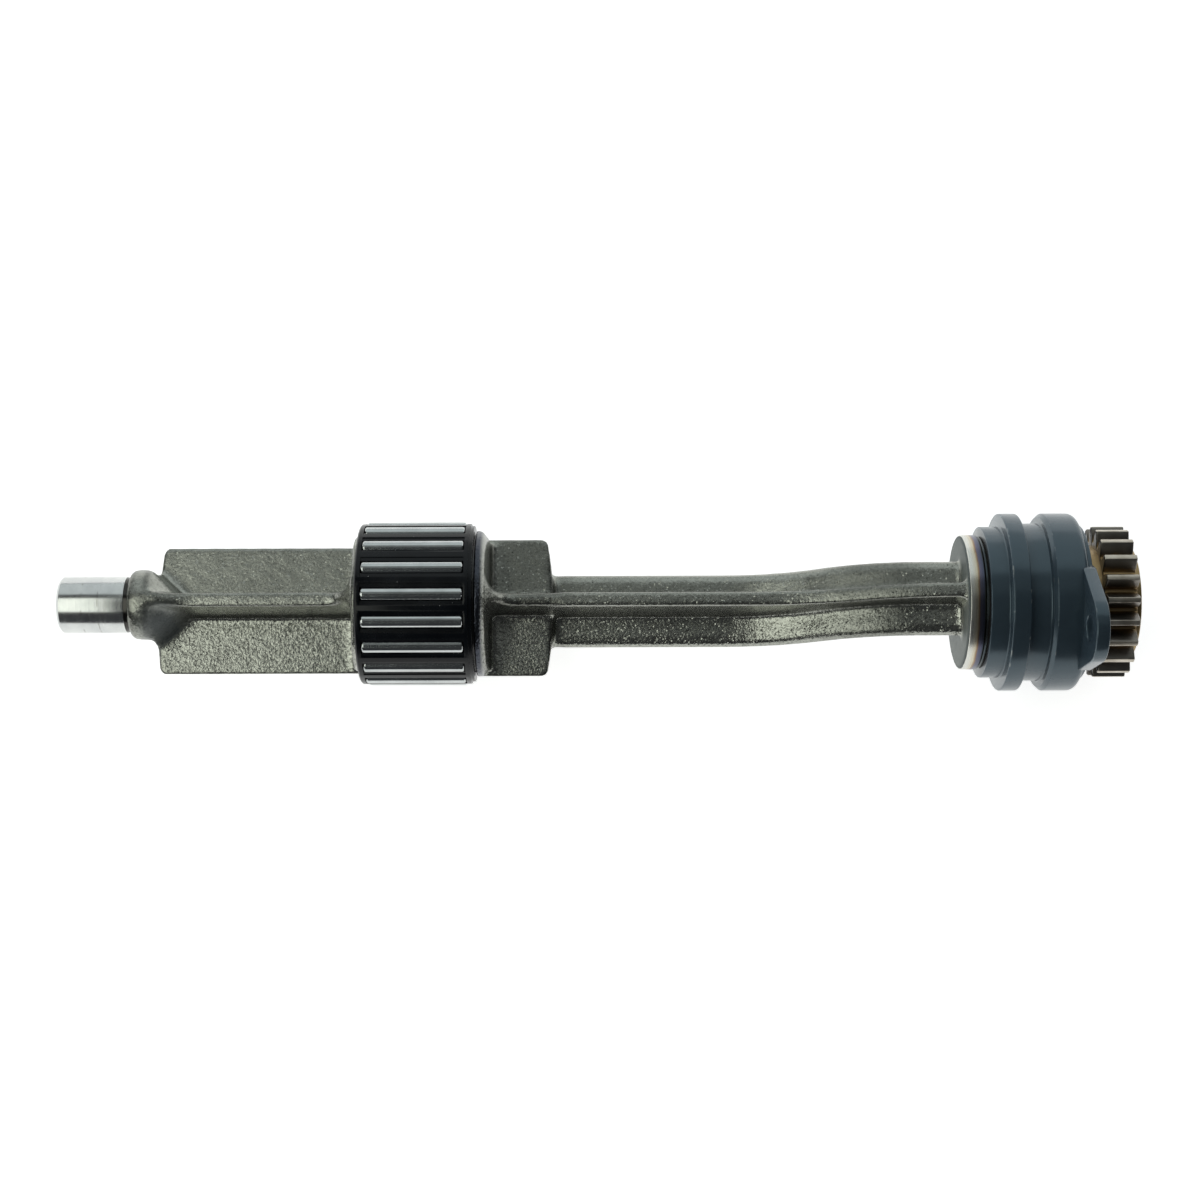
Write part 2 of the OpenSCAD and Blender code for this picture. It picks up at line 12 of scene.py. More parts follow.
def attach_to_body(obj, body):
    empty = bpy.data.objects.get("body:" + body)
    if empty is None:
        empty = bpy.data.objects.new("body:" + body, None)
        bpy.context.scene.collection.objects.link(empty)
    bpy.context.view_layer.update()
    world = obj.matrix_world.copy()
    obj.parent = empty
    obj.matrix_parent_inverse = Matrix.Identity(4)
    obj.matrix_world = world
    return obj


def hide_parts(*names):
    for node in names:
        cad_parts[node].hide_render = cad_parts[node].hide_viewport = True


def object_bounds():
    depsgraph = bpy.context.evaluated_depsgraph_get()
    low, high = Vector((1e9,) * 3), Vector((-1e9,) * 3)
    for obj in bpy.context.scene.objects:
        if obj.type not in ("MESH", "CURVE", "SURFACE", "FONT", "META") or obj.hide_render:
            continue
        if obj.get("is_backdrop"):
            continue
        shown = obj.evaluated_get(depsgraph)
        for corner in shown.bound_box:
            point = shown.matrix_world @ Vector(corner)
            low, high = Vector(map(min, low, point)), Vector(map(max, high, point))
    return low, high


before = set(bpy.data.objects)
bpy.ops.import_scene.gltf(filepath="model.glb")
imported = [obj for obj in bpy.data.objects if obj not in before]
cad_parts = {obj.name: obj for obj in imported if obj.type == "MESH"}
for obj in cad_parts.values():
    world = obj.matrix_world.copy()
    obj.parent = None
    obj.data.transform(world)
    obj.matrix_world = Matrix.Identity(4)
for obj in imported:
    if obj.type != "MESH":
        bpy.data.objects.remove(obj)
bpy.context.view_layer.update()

MM = 0.001

# Stations along the shaft, in millimetres from the ear's seating face
X_PIN = -282.9
X_BOSS = -263.2
X_RACE_LEFT = -199.1
X_RACE_RIGHT = -165.7
X_COLLAR_LEFT = -30.0
X_COLLAR_RIGHT = -25.3
X_LIP = -24.6
X_SHANK = -24.2
X_FLANGE = -19.0
X_GROOVE = -14.0
X_EAR_FLANGE = -7.8
X_EAR = 3.6
X_HUB = 3.8
X_TEETH_LEFT = 7.4
X_TEETH_RIGHT = 16.5
X_GEAR = 18.0
X_NOSE = 17.5

# Radii, small sizes and edge fillets of the shaft's ground surfaces, in millimetres
PIN_R = 8.0
PIN_CHAMFER = 0.8
PIN_EDGE = 0.2
RELIEF_W = 0.9
RELIEF_DEPTH = 0.25
RELIEF_EDGE = 0.08
RACE_R = 19.0
COLLAR_R = 19.0
COLLAR_INSET = 0.4
COLLAR_LEFT_EDGE = 0.2
COLLAR_RIGHT_EDGE = 0.3
JOURNAL_R = 13.5
JOURNAL_EDGE = 0.2
NOSE_R = 10.0
NOSE_EDGE = 0.4
CENTRE_R = 2.5
CENTRE_DEPTH = 4.33
CENTRE_EDGE = 0.15
OVERLAP = 1.0
SCORE_LINES = (-275.8, -271.2)
SCORE_HALF_W = 0.09

# Bearing housing, its fillets and its ear, in millimetres and degrees
BUSH_R = 15.0
LIP_R = 18.5
LIP_EDGE = 0.15
LIP_FOOT_EDGE = 0.1
OILY_MARGIN = 0.1
SHANK_R = 21.3
SHANK_EDGE = 0.25
FLANGE_R = 25.0
FLANGE_EDGE = 0.45
GROOVE_R = 22.2
CORNER_FILLET = 0.5
FLANGE_CHAMFER = 1.0
CHAMFER_LOW_EDGE = 0.25
CHAMFER_TOP_EDGE = 0.3
FLANGE_ROUND = (2.0, 1.5)
FACE_R = 22.0
FACE_FILLET = 0.3
FACE_EDGE = 0.35
HOUSING_GAP = 0.2
EAR_ANGLE = 24.5
EAR_REACH = 31.0
EAR_TIP_R = 9.3
EAR_HOLE_R = 3.5
EAR_ROOT_R = 18.0
EAR_FOOT_W = 28.8
EAR_FOOT_RISE = 0.6
EAR_FOOT_FILLET = 2.5
EAR_EDGE = 0.4
EAR_RISE = 0.02

# Drive gear, in millimetres and degrees
TEETH = 21
GEAR_R = 21.2
TOOTH_H = 4.2
LAND_W = 1.4
LAND_FADE = (0.18, 0.06)
FLANK_ANGLE = 18.0
FLANK_BULGE = 0.12
TOOTH_PHASE = 10.1
TOOTH_ROOT_FILLET = 0.3
TOOTH_TIP_FILLET = 0.2
TOOTH_EDGE = 0.35
HUB_R = 16.0
HUB_EDGE = 0.4

# Points round the turned pieces and holes, and steps along arcs
TURNED_POINTS = 160
HOUSING_POINTS = 192
HOLE_POINTS = 48
BORE_POINTS = 96
TIP_STEPS = 32
SHOULDER_STEPS = 8
FLANK_STEPS = 6

# Limit on how far a sharp corner moves when an outline is offset: the distance divided by this
MITRE_LIMIT = 0.35

# Forged skin, in millimetres: voxels, smoothing, depth of a rounded edge where its painted shade is full,
# and long waves
VOXEL = 0.46
SMOOTH_PASSES = 7
SMOOTH_STEP = 0.5
EDGE_DEPTH = 0.25
WAVE_HEIGHT = 0.02
WAVE_LENGTH = 7.0

# Lean of the forging's normals away from the rib, and the millimetres over which it and the grain change
DRAFT = 0.035
DRAFT_HALF_W = 4.0
GRAIN_CHANGE = (3.0, -4.0)

# Stretches of the forging that blend with larger fillets, in millimetres: from and to, fade and half width
SOFT_PASSES = 26
SOFT_FADE = 4.0
SOFT_HALF_W = 14.0
SOFT_REAR = ((-270.0, -246.0), (-208.0, -190.0))
SOFT_FRONT = ((-163.2, -141.0),)

# Darker stretches of the forging, in millimetres: where each begins, is full, is still full and ends
# Rim beside the cage: a darker bluish band
DARK_RIM_BAND = (-166.2, -165.8, -164.2, -163.0)
# Front weight beside the bearing: painted shade
WEIGHT_PAINTED_SHADE = (-165.0, -161.0, -141.0, -137.0)
# Neck: a duller skin, with its colour painted darker as shade over the bend's second highlight
NECK_DULL_AND_SHADED = (-72.0, -60.0, -48.0, -40.0)

# Where the collar's matt face begins and is full, in millimetres from the collar's left end
COLLAR_FACE_FADE = (-0.5, 0.1)

# Blue-grey painted shade on the boss's taper, in millimetres: centre, and the distances where it begins and
# is full
SHADE_PATCH_CENTRE = (-253.6, -6.8)
SHADE_PATCH_REACH = (8.0, 2.4)

# Z of the normal where the boss's painted shade begins and is full, and X of the normal where a gear's end
# face does
SHADE_PATCH_SLOPE = (0.98, 0.90)
END_FACE = (0.90, 0.98)

# Rounding of the cage's edges, in millimetres and degrees
CAGE_EDGE = 0.16
CAGE_EDGE_ANGLE = 35.0
CAGE_WELD = 0.001

# Studio, in metres: floor, wall round it, and the floor's own light as (distance, brightness)
FLOOR_HALF = 4.0
WALL_HEIGHT = 3.0
WALL_SIDES = 48
FLOOR_GLOW = [(0.45, 0.8), (0.9, 1.0)]

# Photograph, in pixels, millimetres and degrees: frame, camera and the point of the shaft in mid-frame
FRAME_PX = 1200
MM_PER_PX = 0.2825
CAMERA_DISTANCE = 586.0
CAMERA_ELEVATION = 78.5
CAMERA_ROLL = 0.18
CAMERA_NEAR = 10.0
CENTRE_X = -131.0
AXIS_BELOW_CENTRE = 0.96
SENSOR_MM = 36.0


def new_mesh_object(name, verts, faces, material, smooth_angle):
    """Mesh object from points in millimetres, smooth shaded, with edges past an angle kept sharp."""
    mesh = bpy.data.meshes.new(name)
    mesh.from_pydata([[c * MM for c in v] for v in verts], [], faces)
    mesh.validate()
    obj = bpy.data.objects.new(name, mesh)
    bpy.context.scene.collection.objects.link(obj)
    mesh.materials.append(material)
    mesh.shade_smooth()
    mesh.set_sharp_from_angle(angle=math.radians(smooth_angle))
    return obj


def attach(obj, body, node):
    """Puts a piece on its body, in place of a CAD node, which is hidden."""
    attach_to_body(obj, body)
    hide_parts(node)


def outward(obj):
    """Turns every face of a closed mesh outwards."""
    bm = bmesh.new()
    bm.from_mesh(obj.data)
    bmesh.ops.recalc_face_normals(bm, faces=bm.faces)
    bm.to_mesh(obj.data)
    bm.free()


def store_edge_wear_and_shade(mesh, values):
    """Keeps an edge value from 0 to 1 on each point, for the materials: rubbed coating on the housing and
    painted shade on the forging.
    """
    attribute = mesh.attributes.new("edge_wear_and_shade", "FLOAT", "POINT")
    attribute.data.foreach_set("value", values)


def spun(y, z, angle):
    """Point turned about the shaft's axis by an angle in radians."""
    return y * math.cos(angle) - z * math.sin(angle), y * math.sin(angle) + z * math.cos(angle)


def circle(radius, points, height=0.0):
    """Clockwise circle of (y, z) points, its centre at a height."""
    turns = [-2 * math.pi * k / points for k in range(points)]
    return [(radius * math.cos(a), height + radius * math.sin(a)) for a in turns]


def rounded(profile, closed=False, steps=4):
    """Points of an outline of (x, y, fillet radius), as (x, y, wear), with an arc at each filleted corner.

    Wear is 1 in the middle of an arc that turns clockwise, where such an outline is convex.
    """
    points = []
    last = len(profile) - 1
    for i, (x, y, fillet) in enumerate(profile):
        corner = Vector((x, y))
        if fillet <= 0 or (i in (0, last) and not closed):
            points.append((x, y, 0.0))
            continue
        before = (Vector(profile[i - 1][:2]) - corner).normalized()
        after = (Vector(profile[(i + 1) % (last + 1)][:2]) - corner).normalized()
        half = before.angle(after) / 2
        reach = fillet / math.tan(half)
        centre = corner + (before + after).normalized() * (fillet / math.sin(half))
        start = corner + before * reach - centre
        turn = math.pi - 2 * half
        convex = before.x * after.y - before.y * after.x > 0
        for k in range(steps + 1):
            share = k / steps
            spin = Matrix.Rotation((-turn if convex else turn) * share, 2)
            spot = centre + spin @ start
            points.append((spot.x, spot.y, math.sin(math.pi * share) if convex else 0.0))
    return points


def offset_loop(loop, distance):
    """Closed clockwise loop of (x, y) points, moved inwards by a distance."""
    moved = []
    count = len(loop)
    for i in range(count):
        here = Vector(loop[i])
        a = (here - Vector(loop[i - 1])).normalized()
        b = (Vector(loop[(i + 1) % count]) - here).normalized()
        inward = Vector((a.y + b.y, -a.x - b.x)).normalized()
        lean = max(MITRE_LIMIT, inward.dot(Vector((a.y, -a.x))))
        moved.append(tuple(here + inward * (distance / lean)))
    return moved


def plate(name, outer, hole, x0, x1, edge, material, turn=0.0, steps=3):
    """Plate along X from a clockwise outline and a clockwise hole of (y, z) points, with rounded edges."""
    verts, faces, edge_wear_and_shade = [], [], []

    def ring(loop, x, worn_and_shaded):
        """Adds a loop's points at a station and gives their numbers."""
        start = len(verts)
        for y, z in loop:
            verts.append((x, *spun(y, z, math.radians(turn))))
            edge_wear_and_shade.append(worn_and_shaded)
        return list(range(start, len(verts)))

    def wall(loop, inward):
        """Adds a loop's wall with its two rounded edges and gives its end rings."""
        rings = []
        for side, x in ((1, x0), (-1, x1)):
            stack = []
            for k in range(steps + 1):
                a = math.pi / 2 * k / steps
                inset = edge * (1 - math.sin(a))
                depth = edge * (1 - math.cos(a))
                stack.append(ring(offset_loop(loop, inward * inset), x + side * depth, math.sin(2 * a)))
            rings += stack[::side]
        for a, b in zip(rings, rings[1:]):
            for k in range(len(a)):
                n = (k + 1) % len(a)
                faces.append((a[k], a[n], b[n], b[k]))
        return rings[0], rings[-1]

    ends = [wall(outer, 1), wall(hole, -1)]
    for end in (0, 1):
        loops = [e[end] for e in ends]
        flat = [[Vector((verts[i][1], verts[i][2], 0)) for i in loop] for loop in loops]
        index = loops[0] + loops[1]
        faces += [tuple(index[i] for i in t) for t in tessellate_polygon(flat)]
    obj = new_mesh_object(name, verts, faces, material, smooth_angle=35.0)
    outward(obj)
    store_edge_wear_and_shade(obj.data, edge_wear_and_shade)
    return obj


def lathe(name, profile, material, segments=TURNED_POINTS, smooth_angle=30.0):
    """Solid turned about X from an outline of (x, r, fillet), closed if it starts off the axis."""
    points = rounded(profile)
    verts, faces, edge_wear_and_shade, rings = [], [], [], []
    for x, r, worn_and_shaded in points:
        on_axis = r < 1e-6
        count = 1 if on_axis else segments
        rings.append(list(range(len(verts), len(verts) + count)))
        for k in range(count):
            a = 2 * math.pi * k / count
            verts.append((x, r * math.sin(a), r * math.cos(a)))
            edge_wear_and_shade.append(worn_and_shaded)
    pairs = list(zip(rings, rings[1:]))
    if len(rings[0]) > 1:
        pairs.append((rings[-1], rings[0]))
    for a, b in pairs:
        for k in range(segments):
            n = (k + 1) % segments
            if len(a) == 1:
                faces.append((a[0], b[k], b[n]))
            elif len(b) == 1:
                faces.append((a[n], a[k], b[0]))
            else:
                faces.append((a[k], b[k], b[n], a[n]))
    obj = new_mesh_object(name, verts, faces, material, smooth_angle)
    outward(obj)
    store_edge_wear_and_shade(obj.data, edge_wear_and_shade)
    return obj


class Nodes:
    """Short way to write a material's node tree."""

    def __init__(self, name):
        self.material = bpy.data.materials.new(name)
        self.material.use_nodes = True
        self.tree = self.material.node_tree
        self.bsdf = self.tree.nodes["Principled BSDF"]
        coords = self.tree.nodes.new("ShaderNodeTexCoord")
        self.place = coords.outputs["Object"]
        self.facing = coords.outputs["Normal"]

    def shader(self, **values):
        """Sets the shader's sockets to constants or outputs. Underscores stand for spaces."""
        for key, value in values.items():
            self.put(self.bsdf.inputs[key.replace("_", " ")], value)

    def add(self, kind, inputs=(), **settings):
        """New node with its settings, and its inputs as (socket, value or output) pairs."""
        node = self.tree.nodes.new(kind)
        for key, value in settings.items():
            setattr(node, key, value)
        for socket, value in inputs:
            self.put(node.inputs[socket], value)
        return node

    def put(self, socket, value):
        """Links an output to a socket, or sets the socket's value."""
        if isinstance(value, bpy.types.NodeSocket):
            self.tree.links.new(value, socket)
        else:
            socket.default_value = value

    def math(self, operation, a, b=0.0):
        """Result of an operation on one or two values."""
        return self.add("ShaderNodeMath", [(0, a), (1, b)], operation=operation).outputs["Value"]

    def plus(self, base, extra, share):
        """Base plus a share of an extra value."""
        inputs = [(0, extra), (1, share), (2, base)]
        return self.add("ShaderNodeMath", inputs, operation="MULTIPLY_ADD").outputs["Value"]

    def inverted(self, value):
        """What a value leaves of 1."""
        return self.math("SUBTRACT", 1.0, value)

    def steps(self, value, low, high):
        """Value that goes from 0 at low to 1 at high."""
        pairs = [("Value", value), ("From Min", low), ("From Max", high)]
        return self.add("ShaderNodeMapRange", pairs).outputs["Result"]

    def band(self, value, edges):
        """Value that is 1 between the inner two of four edges in millimetres, and 0 past the outer two."""
        begin, full, still, end = (edge * MM for edge in edges)
        return self.math("MULTIPLY", self.steps(value, begin, full), self.steps(value, end, still))

    def vector(self, operation, a, b=(0.0, 0.0, 0.0)):
        """Result of an operation on one or two vectors."""
        node = self.add("ShaderNodeVectorMath", [(0, a), (1, b)], operation=operation)
        return node.outputs["Value" if operation == "DISTANCE" else "Vector"]

    def join(self, x=0.0, y=0.0, z=0.0):
        """Vector of three values."""
        return self.add("ShaderNodeCombineXYZ", [("X", x), ("Y", y), ("Z", z)]).outputs["Vector"]

    def split(self, vector=None):
        """X, Y and Z of a vector, or of the object coordinates."""
        node = self.add("ShaderNodeSeparateXYZ", [("Vector", vector or self.place)])
        return node.outputs["X"], node.outputs["Y"], node.outputs["Z"]

    def stretched(self, scale):
        """Object coordinates scaled by a vector."""
        node = self.add("ShaderNodeMapping", [("Vector", self.place), ("Scale", scale)])
        return node.outputs["Vector"]

    def radius(self):
        """Distance from the shaft's axis, in metres."""
        _, y, z = self.split()
        squares = self.math("ADD", self.math("MULTIPLY", y, y), self.math("MULTIPLY", z, z))
        return self.math("SQRT", squares)

    def noise(self, scale, detail=3.0, roughness=0.55, vector=None):
        """Noise value from 0 to 1, with features of about 1 / scale metres."""
        inputs = [("Vector", vector or self.place), ("Scale", scale), ("Detail", detail)]
        inputs.append(("Roughness", roughness))
        return self.add("ShaderNodeTexNoise", inputs).outputs["Fac"]

    def turned(self, pitch=5200.0, around=60.0):
        """Noise in fine rings round the shaft, on turned walls and on end faces alike."""
        x, y, _ = self.split()
        rings = self.join(
            self.math("MULTIPLY", x, pitch),
            self.math("MULTIPLY", self.radius(), pitch),
            self.math("MULTIPLY", y, around),
        )
        return self.noise(1.0, vector=rings)

    def cells(self, scale):
        """Cell texture with cells of about 1 / scale metres."""
        return self.add("ShaderNodeTexVoronoi", [("Vector", self.place), ("Scale", scale)])

    def facets(self, scale, share, reach):
        """Tilt vectors of scattered crystal facets: a share of the cells leans, each its own way."""
        colour = self.cells(scale).outputs["Color"]
        draw = self.add("ShaderNodeSeparateColor", [("Color", colour)]).outputs["Blue"]
        chosen = self.math("LESS_THAN", draw, share)
        lean = self.vector("SUBTRACT", colour, (0.5, 0.5, 0.5))
        lean = self.vector("MULTIPLY", lean, (reach, reach, 0.0))
        return self.vector("MULTIPLY", lean, self.join(chosen, chosen))

    def drafted(self, y, tilt):
        """Normal that leans away from the rib by the forging's draft, and by a tilt vector."""
        across = self.steps(y, -DRAFT_HALF_W * MM, DRAFT_HALF_W * MM)
        lean = self.join(y=self.plus(-DRAFT, across, 2 * DRAFT))
        total = self.vector("ADD", self.vector("ADD", self.facing, lean), tilt)
        return self.vector("NORMALIZE", total)

    def bump(self, height, strength, distance, normal=None):
        """Normal of a surface on which a height of 1 stands for a distance in metres."""
        inputs = [("Height", height), ("Strength", strength), ("Distance", distance)]
        if normal is not None:
            inputs.append(("Normal", normal))
        return self.add("ShaderNodeBump", inputs).outputs["Normal"]

    def edge_wear_and_shade(self):
        """Edge value of a piece's rounded edges: rubbed coating on the housing, painted shade on the
        forging.
        """
        return self.add("ShaderNodeAttribute", attribute_name="edge_wear_and_shade").outputs["Fac"]

    def ramp(self, value, stops):
        """Colour ramp from (position, colour or grey) stops."""
        node = self.add("ShaderNodeValToRGB", [("Fac", value)])
        elements = node.color_ramp.elements
        while len(elements) < len(stops):
            elements.new(0.5)
        for element, (position, colour) in zip(elements, stops):
            element.position = position
            grey = isinstance(colour, (int, float))
            element.color = (colour, colour, colour, 1.0) if grey else (*colour, 1.0)
        return node.outputs["Color"]

    def mix(self, factor, a, b):
        """Colour mix from a to b."""
        node = self.add("ShaderNodeMix", data_type="RGBA")
        self.put(node.inputs["Factor"], factor)
        for socket, colour in ((6, a), (7, b)):
            linked = isinstance(colour, bpy.types.NodeSocket)
            self.put(node.inputs[socket], colour if linked else (*colour, 1.0))
        return node.outputs[2]

    def tint(self, colour, factor):
        """Colour multiplied by another."""
        node = self.add("ShaderNodeMix", data_type="RGBA", blend_type="MULTIPLY")
        self.put(node.inputs["Factor"], 1.0)
        self.put(node.inputs[6], colour)
        self.put(node.inputs[7], factor)
        return node.outputs[2]

    def darkened(self, colour, mask, share):
        """Colour that goes down to a share of itself where a mask is 1."""
        return self.tint(colour, self.ramp(mask, [(0.0, 1.0), (1.0, share)]))


def forged_steel():
    """Shot-blasted forged skin: olive grey with a glossy grain.

    The grain is coarse in front of the rib and finer behind it. The boss's taper, painted blue-grey as
    shade, and the collar's face are matt. The front weight, a stretch of the neck and the rounded edges are
    painted darker as shade.
    """
    m = Nodes("forged_steel_skin")
    x, y, _ = m.split()
    grain = m.noise(1300.0, detail=2.0)
    fine = m.noise(4200.0, detail=2.0, roughness=0.6)
    tone = m.noise(75.0, detail=4.0)
    face = m.steps(x, *((X_COLLAR_LEFT + fade) * MM for fade in COLLAR_FACE_FADE))
    # scale: mask of the blue-grey painted shade on the boss's taper, which is also matt
    scale = boss_painted_shade(m)
    smooth = m.math("MAXIMUM", face, scale)
    dull_and_shaded = m.band(x, NECK_DULL_AND_SHADED)
    front = m.steps(y, *(edge * MM for edge in GRAIN_CHANGE))

    skin = m.ramp(tone, [(0.3, (0.375, 0.382, 0.345)), (0.7, (0.440, 0.448, 0.405))])
    fine_pits = m.ramp(grain, [(0.34, 0.66), (0.47, 0.80), (0.60, 0.89)])
    coarse_pits = m.ramp(grain, [(0.34, 0.56), (0.47, 0.87), (0.60, 1.0)])
    skin = m.tint(skin, m.mix(front, fine_pits, coarse_pits))
    # Painted shade over the neck's second highlight, where the skin is also duller
    skin = m.darkened(skin, dull_and_shaded, 0.70)
    # Painted shade on the front weight beside the bearing
    skin = m.darkened(skin, m.band(x, WEIGHT_PAINTED_SHADE), 0.84)
    # The forging's rounded edges are painted darker: painted shade
    skin = m.darkened(skin, m.edge_wear_and_shade(), 0.5)
    # Blue-grey painted shade on the boss's taper
    skin = m.mix(scale, skin, (0.095, 0.108, 0.116))
    # Darker bluish band on the rim beside the cage
    skin = m.mix(m.band(x, DARK_RIM_BAND), skin, (0.055, 0.060, 0.074))

    rough = m.ramp(fine, [(0.3, 0.17), (0.7, 0.25)])
    rough = m.plus(rough, dull_and_shaded, 0.08)
    rough = m.plus(rough, m.inverted(front), 0.08)
    rough = m.plus(rough, smooth, 0.35)

    coarse = m.plus(0.52, front, 0.58)
    height = m.math("MULTIPLY", m.plus(grain, fine, 0.12), coarse)
    height = m.math("MULTIPLY", height, m.plus(1.0, face, -0.9))
    tilt = m.facets(3000.0, m.math("MULTIPLY", coarse, 0.14), 0.9)
    m.shader(
        Base_Color=m.mix(face, skin, (0.115, 0.132, 0.132)),
        Metallic=m.plus(0.95, smooth, -0.95),
        Roughness=rough,
        Specular_IOR_Level=0.2,
        Normal=m.bump(height, 1.0, 0.00014, m.drafted(y, tilt)),
    )
    return m.material


def boss_painted_shade(m):
    """Mask of the blue-grey painted shade on the slopes of the boss's taper."""
    centre = (SHADE_PATCH_CENTRE[0] * MM, SHADE_PATCH_CENTRE[1] * MM, 0.0)
    away = m.vector("DISTANCE", m.stretched((1.0, 1.0, 0.0)), centre)
    near = m.steps(away, *(reach * MM for reach in SHADE_PATCH_REACH))
    _, _, slope = m.split(m.facing)
    patch = m.math("MULTIPLY", near, m.steps(slope, *SHADE_PATCH_SLOPE))
    return m.math("MULTIPLY", patch, 0.85)


def ground_steel(name, low, high, rough=(0.14, 0.26), marks=(), dark_past=None):
    """Ground steel with fine rings round the shaft.

    It has faint score lines at the marks, and is dark with oil past a station.
    """
    m = Nodes(name)
    rings = m.turned()
    tone = m.noise(160.0)
    colour = m.ramp(tone, [(0.3, low), (0.7, high)])
    x, _, _ = m.split()
    for mark in marks:
        near = m.math("ABSOLUTE", m.math("SUBTRACT", x, mark * MM))
        patchy = m.math("GREATER_THAN", m.noise(420.0), 0.5)
        line = m.math("MULTIPLY", m.math("LESS_THAN", near, SCORE_HALF_W * MM), patchy)
        colour = m.mix(line, colour, (0.27, 0.26, 0.24))
    if dark_past is not None:
        colour = m.mix(m.math("GREATER_THAN", x, dark_past * MM), colour, (0.05, 0.048, 0.045))
    m.shader(
        Base_Color=colour,
        Metallic=1.0,
        Roughness=m.ramp(rings, [(0.3, rough[0]), (0.7, rough[1])]),
        Normal=m.bump(rings, 0.10, 0.00003),
    )
    return m.material


def collar_steel():
    """Ground thrust collar, tinted straw, brown and blue by heat towards the housing."""
    m = Nodes("collar_heat_tint")
    x, _, _ = m.split()
    rings = m.noise(1.0, vector=m.stretched((5200.0, 60.0, 60.0)))
    stain = m.noise(110.0)
    along = m.steps(x, X_COLLAR_LEFT * MM, X_COLLAR_RIGHT * MM)
    heat = m.plus(along, m.math("SUBTRACT", stain, 0.5), 0.16)
    colour = m.ramp(
        heat,
        [
            (0.25, (0.60, 0.60, 0.56)),
            (0.50, (0.52, 0.47, 0.36)),
            (0.60, (0.26, 0.17, 0.10)),
            (0.68, (0.12, 0.115, 0.16)),
            (0.88, (0.075, 0.085, 0.125)),
            (0.97, (0.06, 0.06, 0.04)),
        ],
    )
    m.shader(
        Base_Color=colour,
        Metallic=1.0,
        Roughness=m.ramp(rings, [(0.3, 0.22), (0.7, 0.36)]),
        Normal=m.bump(rings, 0.15, 0.00003),
    )
    return m.material


def coated_housing():
    """Satin blue-grey coating, bright where the edges are rubbed thin, oily and dark on the lip."""
    m = Nodes("blue_grey_coating")
    x, _, _ = m.split()
    tone = m.noise(70.0, detail=4.0)
    grain = m.noise(2600.0, detail=2.0)
    chips = m.noise(380.0)
    coat = m.ramp(tone, [(0.3, (0.026, 0.040, 0.054)), (0.7, (0.034, 0.051, 0.068))])
    oily = m.math("LESS_THAN", x, (X_SHANK - OILY_MARGIN) * MM)
    coat = m.mix(oily, coat, (0.012, 0.011, 0.010))
    worn_and_shaded = m.math("MULTIPLY", m.edge_wear_and_shade(), m.ramp(chips, [(0.58, 0.0), (0.72, 0.7)]))
    worn_and_shaded = m.math("MULTIPLY", worn_and_shaded, m.inverted(oily))
    m.shader(
        Base_Color=m.mix(worn_and_shaded, coat, (0.42, 0.44, 0.43)),
        Metallic=worn_and_shaded,
        Roughness=m.ramp(grain, [(0.3, 0.19), (0.7, 0.27)]),
        IOR=1.55,
        Specular_IOR_Level=0.68,
        Specular_Tint=(0.70, 0.89, 1.0, 1.0),
        Normal=m.bump(grain, 0.10, 0.00005),
    )
    return m.material


def gear_steel():
    """Oiled steel: pale lands, dark flanks, grey end faces, brown varnish in the roots and on the hub."""
    m = Nodes("oiled_gear_steel")
    r = m.radius()
    stain = m.noise(230.0, detail=4.0)
    along, _, _ = m.split(m.facing)
    end = m.steps(m.math("ABSOLUTE", along), *END_FACE)
    scratch = m.noise(1.0, detail=2.0, vector=m.stretched((120.0, 2600.0, 2600.0)))
    scratch = m.mix(end, scratch, m.turned(2600.0))
    land = m.steps(r, *((GEAR_R - fade) * MM for fade in LAND_FADE))
    depth = m.steps(r, HUB_R * MM, GEAR_R * MM)
    depth = m.plus(depth, m.math("SUBTRACT", stain, 0.5), 0.5)
    depth = m.plus(depth, end, 0.12)
    body = m.ramp(
        depth,
        [
            (0.0, (0.310, 0.220, 0.105)),
            (0.25, (0.270, 0.180, 0.080)),
            (0.50, (0.118, 0.102, 0.085)),
            (1.0, (0.225, 0.208, 0.186)),
        ],
    )
    body = m.mix(m.math("MULTIPLY", end, 0.75), body, (0.200, 0.185, 0.160))
    lands = m.ramp(stain, [(0.3, (0.35, 0.310, 0.250)), (0.7, (0.58, 0.535, 0.460))])
    m.shader(
        Base_Color=m.mix(land, body, lands),
        Metallic=0.9,
        Roughness=m.ramp(scratch, [(0.3, 0.28), (0.7, 0.44)]),
        Coat_Weight=0.25,
        Coat_Roughness=0.2,
        Normal=m.bump(scratch, 0.10, 0.00005),
    )
    return m.material


def cage_plastic():
    """Black moulded plastic with a blue tinge and a little dust."""
    m = Nodes("black_cage_plastic")
    tone = m.noise(130.0)
    speck = m.math("LESS_THAN", m.cells(300.0).outputs["Distance"], 0.04)
    colour = m.ramp(tone, [(0.3, (0.0022, 0.0030, 0.0046)), (0.7, (0.0045, 0.0060, 0.0085))])
    m.shader(
        Base_Color=m.mix(speck, colour, (0.25, 0.25, 0.25)),
        Roughness=m.ramp(tone, [(0.3, 0.18), (0.7, 0.30)]),
        Specular_IOR_Level=0.22,
        Normal=m.bump(m.noise(900.0), 0.06, 0.0001),
    )
    return m.material


def bush_metal():
    """Bored bearing metal."""
    m = Nodes("bearing_metal")
    rings = m.noise(1.0, detail=2.0, vector=m.stretched((4000.0, 50.0, 50.0)))
    m.shader(
        Base_Color=m.ramp(rings, [(0.3, (0.42, 0.33, 0.19)), (0.7, (0.52, 0.42, 0.26))]),
        Metallic=1.0,
        Roughness=m.ramp(rings, [(0.3, 0.25), (0.7, 0.40)]),
    )
    return m.material


